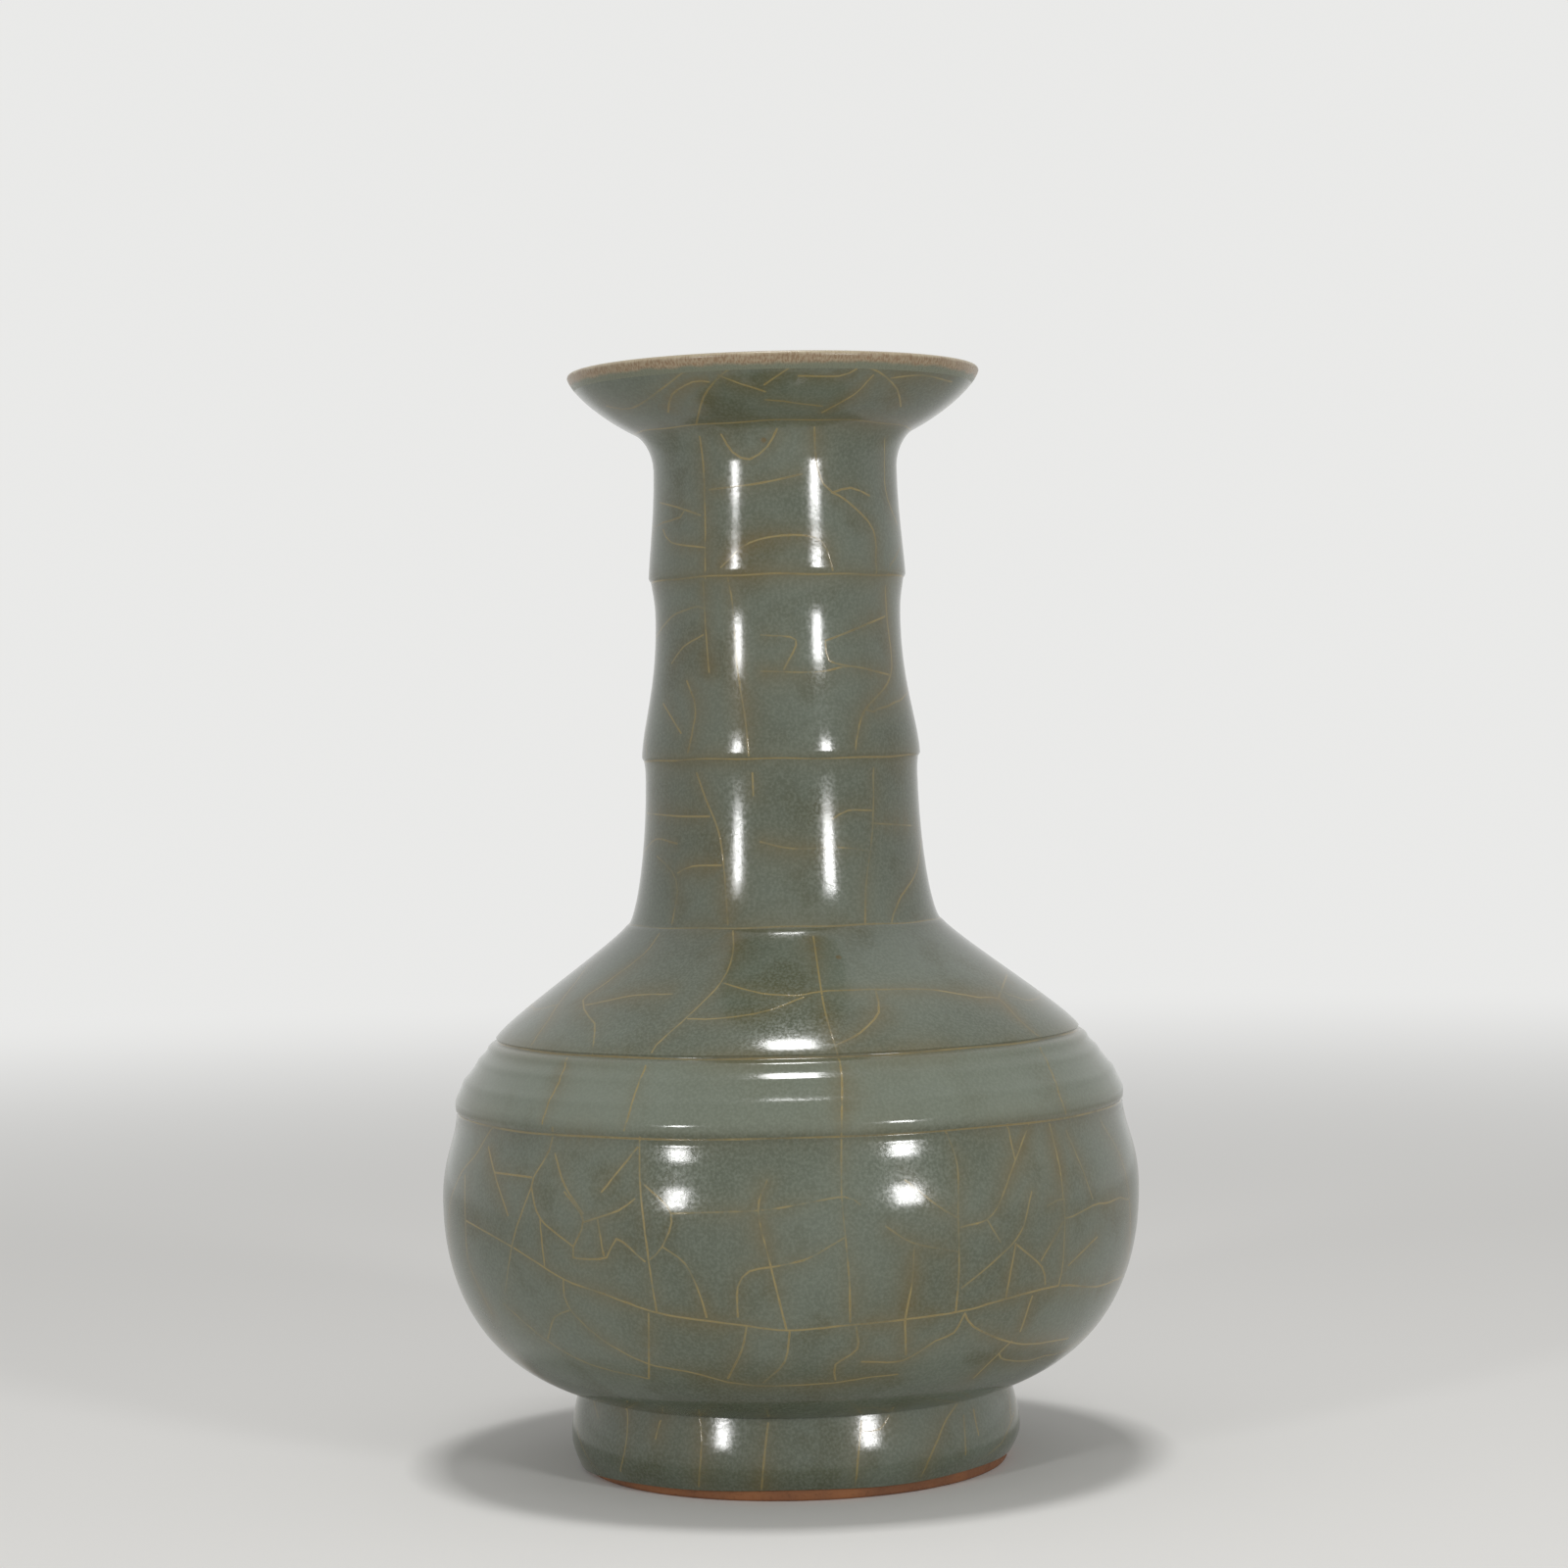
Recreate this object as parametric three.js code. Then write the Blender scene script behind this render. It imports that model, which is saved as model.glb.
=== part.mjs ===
// Dish-mouth vase: clay sections thrown apart, luted together with slip and coated with thick glaze.
// Millimetres, +Z up, origin at the centre of the face that the foot rests on.
import * as THREE from 'three';

// Facets around the vase
const SEGMENTS = 24;

// Height of each stretch of the outside, from the foot up
const FOOT_HEIGHT = 19.4;
const LOWER_BELLY_HEIGHT = 46.6;
const UPPER_BELLY_HEIGHT = 21;
const BAND_HEIGHT = 17;
const SHOULDER_HEIGHT = 27.5;
const LOWER_NECK_HEIGHT = 39.5;
const MIDDLE_NECK_HEIGHT = 43.4;
const UPPER_NECK_HEIGHT = 36;
const DISH_HEIGHT = 13.6;
const LIP_CROWN = 1;

// Outer radii over the glaze
const FOOT_EDGE_RADIUS = 50.8;
const FOOT_GLAZE_RADIUS = 52.6;
const FOOT_RADIUS = 54.6;
const FOOT_WAIST_RADIUS = 52.6;
const BELLY_RADIUS = 84.5;
const BAND_LOW_RADIUS = 80.7;
const BAND_TOP_RADIUS = 71.5;
const NECK_ROOT_RADIUS = 37.9;
const LOWER_NECK_RADIUS = 33.1;
const LOWER_RING_RADIUS = 33.8;
const MIDDLE_NECK_RADIUS = 29.8;
const UPPER_RING_RADIUS = 31.25;
const UPPER_NECK_RADIUS = 29.6;
const DISH_BASE_RADIUS = 34;
const LIP_RADIUS = 50;

// Small heights on the outside
const FOOT_BARE_HEIGHT = 2;
const FOOT_WIDEST_HEIGHT = 8;
const RING_RISE = 1.6;
const RING_FLARE_HEIGHT = 9;
const CAVETTO_HEIGHT = 9;
const LIP_BAND_HEIGHT = 3.2;
const BAND_PROUD = 0.4;

// Walls, coats and joints
const BODY_WALL = 5;
const NECK_WALL = 4;
const DISH_WALL = 3.2;
const LIP_WALL = 1.7;
const OUTER_GLAZE = 1;
const INNER_GLAZE = 0.8;
const LIP_GLAZE = 0.35;
const LUTE = 1;

// Foot well and floor
const FOOT_BORE_RADIUS = 45;
const FOOT_WELL_DEPTH = 13.5;
const FOOT_CHAMFER = 0.8;
const FLOOR_THICKNESS = 9;
const FLOOR_FLAT_RADIUS = 30;
const WELL_FILLET = 2;

// Levels worked out from the stretches
const WIDEST_Z = FOOT_HEIGHT + LOWER_BELLY_HEIGHT;
const BAND_LOW_Z = WIDEST_Z + UPPER_BELLY_HEIGHT;
const BAND_TOP_Z = BAND_LOW_Z + BAND_HEIGHT;
const NECK_ROOT_Z = BAND_TOP_Z + SHOULDER_HEIGHT;
const LOWER_RING_Z = NECK_ROOT_Z + LOWER_NECK_HEIGHT;
const UPPER_RING_Z = LOWER_RING_Z + MIDDLE_NECK_HEIGHT;
const DISH_BASE_Z = UPPER_RING_Z + UPPER_NECK_HEIGHT;
const LIP_Z = DISH_BASE_Z + DISH_HEIGHT;

// A profile point, radius first, then height
function at(radius, height) {
  return new THREE.Vector2(radius, height);
}

// Points of a stretch bent from one end to the other. Each pull is a share of the stretch's own run and rise.
function bend(start, startPull, endPull, end, steps) {
  const run = end.x - start.x;
  const rise = end.y - start.y;
  const first = at(start.x + run * startPull[0], start.y + rise * startPull[1]);
  const second = at(end.x - run * endPull[0], end.y - rise * endPull[1]);
  return new THREE.CubicBezierCurve(start, first, second, end).getPoints(steps);
}

// The stretches of the outside from the bare foot edge to the lip, each with the name of its end
function outsideStretches() {
  const glazeLine = at(FOOT_GLAZE_RADIUS, FOOT_BARE_HEIGHT);
  const footWidest = at(FOOT_RADIUS, FOOT_WIDEST_HEIGHT);
  const footWaist = at(FOOT_WAIST_RADIUS, FOOT_HEIGHT);
  const widest = at(BELLY_RADIUS, WIDEST_Z);
  const bandLow = at(BAND_LOW_RADIUS, BAND_LOW_Z);
  const bandStart = at(BAND_LOW_RADIUS + BAND_PROUD, BAND_LOW_Z + LUTE);
  const bandTop = at(BAND_TOP_RADIUS, BAND_TOP_Z);
  const neckRoot = at(NECK_ROOT_RADIUS, NECK_ROOT_Z);
  const underLowerRing = at(LOWER_NECK_RADIUS, LOWER_RING_Z - RING_RISE * 2);
  const lowerRing = at(LOWER_RING_RADIUS, LOWER_RING_Z + RING_RISE);
  const middleNeck = at(MIDDLE_NECK_RADIUS, UPPER_RING_Z - RING_FLARE_HEIGHT);
  const underUpperRing = at((MIDDLE_NECK_RADIUS + UPPER_RING_RADIUS) / 2, UPPER_RING_Z - RING_RISE);
  const upperRing = at(UPPER_RING_RADIUS, UPPER_RING_Z + RING_RISE);
  const upperNeck = at(UPPER_NECK_RADIUS, DISH_BASE_Z - CAVETTO_HEIGHT);
  const dishBase = at(DISH_BASE_RADIUS, DISH_BASE_Z);
  const lip = at(LIP_RADIUS, LIP_Z);
  return [
    { points: bend(glazeLine, [0.4, 0.3], [0, 0.4], footWidest, 2), end: 'footWidest' },
    { points: bend(footWidest, [0, 0.35], [0.35, 0.35], footWaist, 2), end: 'footJoin' },
    { points: bend(footWaist, [0.6, 0.12], [0, 0.56], widest, 8), end: 'widest' },
    { points: bend(widest, [0, 0.3], [0.1, 0.3], bandLow, 3), end: 'bandJoin' },
    { points: [bandLow, bandStart], end: 'bandStart' },
    { points: bend(bandStart, [0.06, 0.35], [0.5, 0.4], bandTop, 4), end: 'bandTop' },
    { points: bend(bandTop, [0.12, 0.2], [0.14, 0.2], neckRoot, 6), end: 'neckJoin' },
    { points: bend(neckRoot, [0.54, 0.13], [0, 0.45], underLowerRing, 4), end: 'underLowerRing' },
    { points: [underLowerRing, lowerRing], end: 'lowerRing' },
    { points: bend(lowerRing, [0.5, 0.16], [0, 0.5], middleNeck, 4), end: 'middleNeck' },
    { points: [middleNeck, underUpperRing], end: 'underUpperRing' },
    { points: [underUpperRing, upperRing], end: 'upperRing' },
    { points: bend(upperRing, [0.3, 0.2], [0, 0.4], upperNeck, 3), end: 'upperNeck' },
    { points: bend(upperNeck, [0, 0.5], [0.4, 0.1], dishBase, 3), end: 'dishJoin' },
    { points: bend(dishBase, [0.42, 0.25], [0.08, 0.3], lip, 5), end: 'lip' },
  ];
}

// How far a value lies from a low level to a high one, from 0 to 1
function between(value, low, high) {
  return THREE.MathUtils.clamp((value - low) / (high - low), 0, 1);
}

// Thickness of the outer and inner coats, which thin out where they run off the lip
function coat(full, height) {
  return THREE.MathUtils.lerp(full, LIP_GLAZE, between(height, LIP_Z - LIP_BAND_HEIGHT * 2, LIP_Z));
}

// Thickness of the clay, from the heavy body to the thin lip
function clayWall(height) {
  const neck = THREE.MathUtils.lerp(BODY_WALL, NECK_WALL, between(height, BAND_TOP_Z, NECK_ROOT_Z));
  const dish = THREE.MathUtils.lerp(neck, DISH_WALL, between(height, UPPER_RING_Z, DISH_BASE_Z));
  return THREE.MathUtils.lerp(dish, LIP_WALL, between(height, DISH_BASE_Z, LIP_Z));
}

// The outside as one line of stations. A core station also carries the clay and the inside beneath it.
function buildStations() {
  const stations = [{ point: at(FOOT_GLAZE_RADIUS, FOOT_BARE_HEIGHT), core: true, name: 'glazeLine' }];
  for (const stretch of outsideStretches()) {
    const last = stretch.points.length - 1;
    stretch.points.slice(1).forEach((point, index) => {
      const ends = index + 1 === last;
      stations.push({ point, core: ends || index % 2 === 1, name: ends ? stretch.end : '' });
    });
  }
  return addJoints(stations);
}

// A joint is as tall as its layer of slip, so each one gets a station just above it
function addJoints(stations) {
  const joints = ['footJoin', 'neckJoin', 'dishJoin'];
  const full = [];
  stations.forEach((station, index) => {
    full.push(station);
    if (joints.includes(station.name)) {
      const next = stations[index + 1].point;
      const share = LUTE / station.point.distanceTo(next);
      full.push({ point: station.point.clone().lerp(next, share), core: true, name: `${station.name}Top` });
    }
  });
  return full;
}

// Unit vector into the wall at each station, square to the outside
function inward(stations, index) {
  const before = stations[Math.max(index - 1, 0)].point;
  const after = stations[Math.min(index + 1, stations.length - 1)].point;
  const along = after.clone().sub(before).normalize();
  return at(-along.y, along.x);
}

function shifted(point, direction, distance) {
  return point.clone().addScaledVector(direction, distance);
}

// Each core station's points through the wall: outer clay, inner clay and inner glaze
function addWall(stations) {
  stations.forEach((station, index) => {
    if (!station.core) {
      return;
    }
    const direction = inward(stations, index);
    const height = station.point.y;
    station.outerClay = shifted(station.point, direction, coat(OUTER_GLAZE, height));
    station.innerClay = shifted(station.outerClay, direction, clayWall(height));
    station.innerGlaze = shifted(station.innerClay, direction, coat(INNER_GLAZE, height));
  });
  return stations;
}

const stations = addWall(buildStations());
// The glaze starts at a feathered edge on the bare foot
stations[0].outerClay.y = FOOT_BARE_HEIGHT;

function indexOf(name) {
  return stations.findIndex((station) => station.name === name);
}

// One layer of the wall between two named stations, upwards
function layer(kind, from, to) {
  const part = stations.slice(indexOf(from), indexOf(to) + 1);
  return part.filter((station) => station[kind]).map((station) => station[kind]);
}

// The first core station inside the lip's thin band of glaze
function nameLipBand() {
  const start = stations.findIndex((s) => s.core && s.name === '' && s.point.y > DISH_BASE_Z + DISH_HEIGHT / 2);
  stations[start].name = 'lipBand';
}
nameLipBand();

// Turns a closed profile into a ring with its faces outwards
function turned(profile) {
  const area = THREE.ShapeUtils.area(profile);
  const ordered = area > 0 ? profile.slice() : profile.slice().reverse();
  const closed = ordered[0].x === 0 && ordered.at(-1).x === 0 ? ordered : [...ordered, ordered[0].clone()];
  const geometry = new THREE.LatheGeometry(closed, SEGMENTS);
  geometry.rotateX(Math.PI / 2);
  return geometry;
}

function piece(name, profile, color, roughness) {
  const material = new THREE.MeshStandardMaterial({ color, roughness, metalness: 0 });
  const mesh = new THREE.Mesh(turned(profile), material);
  mesh.name = name;
  return mesh;
}

// A wall section of clay between two stations
function claySection(from, to) {
  return [...layer('outerClay', from, to), ...layer('innerClay', from, to).reverse()];
}

const plugRadius = FOOT_BORE_RADIUS - LUTE;
const footTop = stations[indexOf('footJoin')].outerClay;
const footLuteTop = stations[indexOf('footJoinTop')].outerClay;
const floorZ = FOOT_WELL_DEPTH + FLOOR_THICKNESS;
const clayCrown = at(LIP_RADIUS - LIP_GLAZE - LIP_WALL / 2, LIP_Z + LIP_CROWN - LIP_GLAZE);
const glazeCrown = at(clayCrown.x, LIP_Z + LIP_CROWN);

// The foot ring stands on a flat, chamfered edge and its bore makes the foot well
function footRing() {
  return [
    at(FOOT_EDGE_RADIUS, 0),
    ...layer('outerClay', 'glazeLine', 'footJoin'),
    at(FOOT_BORE_RADIUS, footTop.y),
    at(FOOT_BORE_RADIUS, FOOT_WELL_DEPTH),
    at(FOOT_BORE_RADIUS, FOOT_BARE_HEIGHT),
    at(FOOT_BORE_RADIUS + FOOT_CHAMFER, 0),
  ];
}

// Slip on top of the foot ring and down around the plug of the floor
function footLute() {
  return [
    at(plugRadius, FOOT_WELL_DEPTH),
    at(FOOT_BORE_RADIUS, FOOT_WELL_DEPTH),
    at(FOOT_BORE_RADIUS, footTop.y),
    footTop,
    footLuteTop,
    at(plugRadius, footLuteTop.y),
  ];
}

// The lower body with its floor, whose plug sits in the foot ring
function lowerBody() {
  return [
    at(0, FOOT_WELL_DEPTH),
    at(plugRadius, FOOT_WELL_DEPTH),
    at(plugRadius, footLuteTop.y),
    ...claySection('footJoinTop', 'bandJoin'),
    at(FLOOR_FLAT_RADIUS, floorZ),
    at(0, floorZ),
  ];
}

function wellGlaze() {
  const side = FOOT_BORE_RADIUS - INNER_GLAZE;
  const ceiling = FOOT_WELL_DEPTH - INNER_GLAZE;
  return [
    at(0, FOOT_WELL_DEPTH),
    at(plugRadius, FOOT_WELL_DEPTH),
    at(FOOT_BORE_RADIUS, FOOT_WELL_DEPTH),
    at(FOOT_BORE_RADIUS, FOOT_BARE_HEIGHT),
    at(side, FOOT_BARE_HEIGHT + INNER_GLAZE),
    at(side, ceiling - WELL_FILLET),
    at(side - WELL_FILLET, ceiling),
    at(0, ceiling),
  ];
}

function outerCoat(from, to) {
  return [...layer('point', from, to), ...layer('outerClay', from, to).reverse()];
}

// The coat inside, from the middle of the floor to the lip's band
function innerCoat() {
  return [
    at(0, floorZ),
    at(FLOOR_FLAT_RADIUS, floorZ),
    ...layer('innerClay', 'footJoinTop', 'lipBand'),
    ...layer('innerGlaze', 'footJoinTop', 'lipBand').reverse(),
    at(FLOOR_FLAT_RADIUS, floorZ + INNER_GLAZE),
    at(0, floorZ + INNER_GLAZE),
  ];
}

function dishMouth() {
  return [
    ...layer('outerClay', 'dishJoinTop', 'lip'),
    clayCrown,
    ...layer('innerClay', 'dishJoinTop', 'lip').reverse(),
  ];
}

// The thin coat over the lip, outside, crown and inside
function lipCoat() {
  return [
    ...layer('point', 'lipBand', 'lip'),
    glazeCrown,
    ...layer('innerGlaze', 'lipBand', 'lip').reverse(),
    ...layer('innerClay', 'lipBand', 'lip'),
    clayCrown,
    ...layer('outerClay', 'lipBand', 'lip').reverse(),
  ];
}

const CLAY = '#6e6459';
const FOOT_CLAY = '#8a5a3a';
const SLIP = '#7d7266';
const CELADON = '#7f8d80';
const LIP_BROWN = '#a39782';
const MATT = 0.85;
const GLOSS = 0.15;

const vase = new THREE.Group();
vase.add(
  piece('foot_ring', footRing(), FOOT_CLAY, MATT),
  piece('foot_luting', footLute(), SLIP, MATT),
  piece('lower_body', lowerBody(), CLAY, MATT),
  piece('band_luting', claySection('bandJoin', 'bandStart'), SLIP, MATT),
  piece('shoulder', claySection('bandStart', 'neckJoin'), CLAY, MATT),
  piece('neck_luting', claySection('neckJoin', 'neckJoinTop'), SLIP, MATT),
  piece('neck', claySection('neckJoinTop', 'dishJoin'), CLAY, MATT),
  piece('mouth_luting', claySection('dishJoin', 'dishJoinTop'), SLIP, MATT),
  piece('dish_mouth', dishMouth(), CLAY, MATT),
  piece('foot_well_glaze', wellGlaze(), CELADON, GLOSS),
  piece('inner_glaze', innerCoat(), CELADON, GLOSS),
  piece('body_glaze', outerCoat('glazeLine', 'neckJoin'), CELADON, GLOSS),
  piece('neck_glaze', outerCoat('neckJoin', 'lipBand'), CELADON, GLOSS),
  piece('lip_glaze', lipCoat(), LIP_BROWN, GLOSS),
);

export default vase;
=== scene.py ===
"""Dish-mouth vase: stoneware sections under a thick crackled celadon glaze."""

import logging
import math
from dataclasses import dataclass, field
from enum import Enum

import bmesh
import bpy
import numpy as np
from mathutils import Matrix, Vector, kdtree, noise


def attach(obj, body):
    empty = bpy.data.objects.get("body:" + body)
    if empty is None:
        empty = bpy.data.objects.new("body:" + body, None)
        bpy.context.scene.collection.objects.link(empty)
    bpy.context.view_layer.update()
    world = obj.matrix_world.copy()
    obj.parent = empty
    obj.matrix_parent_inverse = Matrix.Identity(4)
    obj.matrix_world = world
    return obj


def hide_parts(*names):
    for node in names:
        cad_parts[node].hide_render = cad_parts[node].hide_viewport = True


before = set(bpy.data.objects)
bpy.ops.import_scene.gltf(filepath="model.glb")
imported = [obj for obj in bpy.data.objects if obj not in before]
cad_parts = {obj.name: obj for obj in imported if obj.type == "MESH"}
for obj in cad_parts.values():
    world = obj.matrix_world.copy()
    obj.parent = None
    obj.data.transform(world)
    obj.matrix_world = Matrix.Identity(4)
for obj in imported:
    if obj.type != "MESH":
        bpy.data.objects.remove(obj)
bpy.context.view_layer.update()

LOG = logging.getLogger("vase")
MM = 0.001
BODY = "root"
SEED = 27

# The photograph's camera, in the 1600 x 1600 frame
FRAME_PX = 1600
CENTRE_PX = 800
FOCAL_PX = 3740
HORIZON_PX = 750
AXIS_PX = 797.7
ROLL_DEG = 1.28
CAMERA_DISTANCE = 893 * MM
CAMERA_HEIGHT = 176.6 * MM
SENSOR_MM = 36

# Cracks read on the photograph, in its pixels
BELLY_CRACKS = [
    [(475, 1246), (524, 1274), (575, 1306), (610, 1319), (665, 1339), (707, 1347), (755, 1353), (804, 1359),
     (861, 1354), (921, 1348), (982, 1339), (1025, 1327), (1081, 1313), (1120, 1314), (1147, 1303)],
    [(575, 1306), (576, 1324), (583, 1338), (600, 1356), (624, 1374), (662, 1393), (707, 1402), (743, 1412),
     (784, 1416), (848, 1413), (882, 1408), (916, 1404)],
    [(514, 1331), (556, 1367), (602, 1393), (661, 1408)],
    [(559, 1367), (566, 1345), (581, 1338)],
    [(474, 1200), (475, 1246), (479, 1290), (502, 1341)],
    [(662, 1341), (662, 1408)],
    [(762, 1355), (757, 1379), (743, 1408)],
    [(806, 1360), (801, 1391), (779, 1413)],
    [(564, 1151), (561, 1173), (544, 1202), (542, 1212), (525, 1261), (515, 1321)],
    [(498, 1171), (504, 1197), (515, 1231), (518, 1241)],
    [(504, 1197), (542, 1202)],
    [(566, 1178), (576, 1210), (595, 1239)],
    [(653, 1161), (653, 1202), (656, 1240), (662, 1287), (665, 1307), (670, 1339)],
    [(651, 1171), (614, 1217)],
    [(658, 1210), (685, 1239), (676, 1273), (662, 1287)],
    [(542, 1212), (551, 1244), (585, 1273)],
    [(551, 1244), (553, 1270), (556, 1293)],
    [(576, 1217), (595, 1246), (585, 1273), (585, 1284), (619, 1284), (629, 1265), (658, 1288)],
    [(648, 1224), (631, 1236), (595, 1248)],
    [(610, 1246), (616, 1282)],
    [(676, 1273), (699, 1290), (714, 1321), (721, 1345)],
    [(783, 1205), (774, 1236), (787, 1294), (803, 1359)],
    [(685, 1239), (774, 1236), (820, 1229), (862, 1222), (878, 1230)],
    [(753, 1345), (753, 1314), (765, 1298), (787, 1294), (820, 1287), (831, 1282), (863, 1263)],
    [(852, 1067), (859, 1096), (859, 1156), (859, 1219), (863, 1263), (867, 1309), (868, 1350)],
    [(965, 1154), (977, 1190), (978, 1240), (979, 1297), (976, 1339)],
    [(1028, 1147), (1036, 1185)],
    [(1050, 1147), (1036, 1185), (1013, 1240), (981, 1253)],
    [(1071, 1147), (1081, 1190), (1085, 1222)],
    [(1088, 1154), (1103, 1190), (1115, 1224)],
    [(924, 1205), (957, 1231), (978, 1244)],
    [(904, 1252), (932, 1269), (978, 1278)],
    [(933, 1273), (931, 1309), (924, 1348)],
    [(1053, 1217), (1042, 1258), (1018, 1285), (981, 1316)],
    [(1037, 1270), (1027, 1326)],
    [(1037, 1270), (1064, 1294), (1067, 1311)],
    [(1087, 1244), (1063, 1287)],
    [(1087, 1244), (1085, 1290), (1081, 1313)],
    [(1069, 1231), (1086, 1224), (1087, 1244), (1115, 1231)],
    [(1120, 1263), (1091, 1292)],
    [(1008, 1246), (1021, 1268)],
    [(985, 1341), (994, 1355), (1028, 1370), (1054, 1373), (1091, 1367)],
    [(985, 1341), (974, 1361), (955, 1370), (921, 1390), (880, 1391)],
    [(924, 1348), (925, 1384)],
    [(874, 1355), (875, 1378), (853, 1394), (853, 1410)],
    [(1054, 1324), (1042, 1360)],
    [(1033, 1370), (994, 1408)],
]
SHOULDER_CRACKS = [
    [(579, 1080), (571, 1103), (559, 1127), (553, 1147)],
    [(659, 1088), (648, 1117), (637, 1154)],
    [(1062, 1069), (1074, 1096), (1088, 1137)],
    [(673, 953), (657, 974), (619, 1003), (595, 1021), (601, 1038), (607, 1045), (605, 1076)],
    [(598, 1026), (622, 1021), (648, 1016), (686, 1015)],
    [(748, 950), (748, 974), (736, 1003), (702, 1038), (670, 1067), (664, 1080)],
    [(739, 1004), (777, 1014), (815, 1016), (839, 1012), (891, 1010), (950, 1010), (1000, 1018), (1019, 1019),
     (1042, 1042), (1065, 1062)],
    [(1028, 994), (1019, 1019)],
    [(702, 1040), (731, 1040), (779, 1033), (820, 1018)],
    [(830, 956), (836, 997), (842, 1032), (852, 1067)],
    [(894, 1012), (897, 1033), (878, 1054), (853, 1067)],
]
NECK_CRACKS = [
    [(711, 789), (720, 815), (733, 847), (739, 886), (743, 944)],
    [(661, 830), (695, 833), (724, 833)],
    [(692, 891), (707, 884), (736, 883)],
    [(671, 874), (686, 889), (692, 909), (686, 944)],
    [(768, 789), (769, 812)],
    [(776, 859), (809, 866), (859, 865), (889, 869)],
    [(849, 836), (865, 827), (889, 827)],
    [(891, 783), (890, 847), (884, 897), (883, 944)],
    [(889, 840), (938, 843)],
    [(718, 592), (721, 648), (724, 686)],
    [(743, 589), (748, 619), (752, 677), (761, 736), (764, 771)],
    [(686, 677), (698, 660), (718, 648)],
    [(701, 695), (710, 724), (702, 768)],
    [(677, 718), (695, 748)],
    [(777, 648), (812, 653), (800, 683)],
    [(777, 685), (833, 686), (868, 680), (909, 689)],
    [(842, 654), (868, 644), (903, 629)],
    [(842, 654), (846, 674), (868, 680)],
    [(903, 598), (905, 633), (909, 689), (883, 724), (875, 748), (872, 773)],
    [(714, 446), (718, 477), (720, 535), (720, 591)],
    [(736, 444), (748, 462), (765, 469), (783, 456), (793, 438)],
    [(831, 436), (833, 471), (840, 494), (850, 503), (865, 512), (891, 541), (894, 585)],
    [(849, 503), (868, 498), (887, 506)],
    [(673, 513), (692, 518), (715, 526)],
    [(677, 541), (686, 554), (720, 559)],
    [(902, 447), (903, 500), (915, 535)],
    [(724, 500), (777, 493), (818, 484)],
    [(736, 579), (765, 554), (809, 546), (839, 553), (850, 582)],
]
MOUTH_CRACKS = [
    [(619, 415), (645, 417), (677, 396), (701, 378), (724, 371)],
    [(682, 421), (686, 403), (707, 390), (724, 390)],
    [(710, 436), (718, 406), (733, 386), (751, 372)],
    [(733, 383), (756, 392), (781, 400)],
    [(781, 408), (809, 411), (839, 415)],
    [(780, 393), (803, 377), (815, 371)],
    [(839, 421), (871, 403), (891, 383)],
    [(871, 371), (897, 380), (915, 397), (919, 415)],
    [(815, 384), (856, 384), (874, 377)],
    [(909, 386), (941, 383), (971, 390)],
]
FOOT_CRACKS = [
    [(640, 1431), (640, 1466), (633, 1503)],
    [(713, 1440), (716, 1470), (713, 1519)],
    [(785, 1446), (781, 1479), (777, 1523)],
    [(880, 1443), (873, 1523)],
    [(912, 1438), (898, 1460), (878, 1462)],
    [(984, 1446), (986, 1486)],
    [(994, 1440), (999, 1466)],
    [(676, 1443), (669, 1470)],
]
READ_CRACKS = BELLY_CRACKS + SHOULDER_CRACKS + NECK_CRACKS + MOUTH_CRACKS + FOOT_CRACKS


# The shoulder band, where the glaze is thin
BAND_LOW_M = 0.0872
BAND_TOP_M = 0.1046
BAND_FADE_M = 0.0022


class Layer(Enum):
    """The surfaces through the wall, from outside to inside."""

    OUTER_GLAZE = 0
    OUTER_CLAY = 1
    INNER_CLAY = 2
    INNER_GLAZE = 3


def bend(start: tuple, start_pull: tuple, end_pull: tuple, end: tuple, step: float) -> list:
    """Bends a stretch of the profile from one end to the other.

    Args:
        start: Radius and height where it starts, in mm.
        start_pull: Shares of the run and rise to the first handle.
        end_pull: Shares of the run and rise from the second handle to the end.
        end: Radius and height where it ends, in mm.
        step: Longest spacing of the points, in mm.

    Returns:
        The points after the start, up to and with the end.
    """
    low, high = np.array(start, float), np.array(end, float)
    first = low + (high - low) * np.array(start_pull)
    second = high - (high - low) * np.array(end_pull)
    count = max(2, math.ceil(np.linalg.norm(high - low) / step))
    t = np.linspace(0, 1, count + 1)[1:, None]
    curve = (1 - t) ** 3 * low + 3 * (1 - t) ** 2 * t * first + 3 * (1 - t) * t * t * second + t ** 3 * high
    return [tuple(p) for p in curve]


def share(value: float, low: float, high: float) -> float:
    """How far a value lies from low to high, from 0 to 1."""
    return min(max((value - low) / (high - low), 0.0), 1.0)


def mix(a: float, b: float, t: float) -> float:
    """A value between a and b."""
    return a + (b - a) * t


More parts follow.
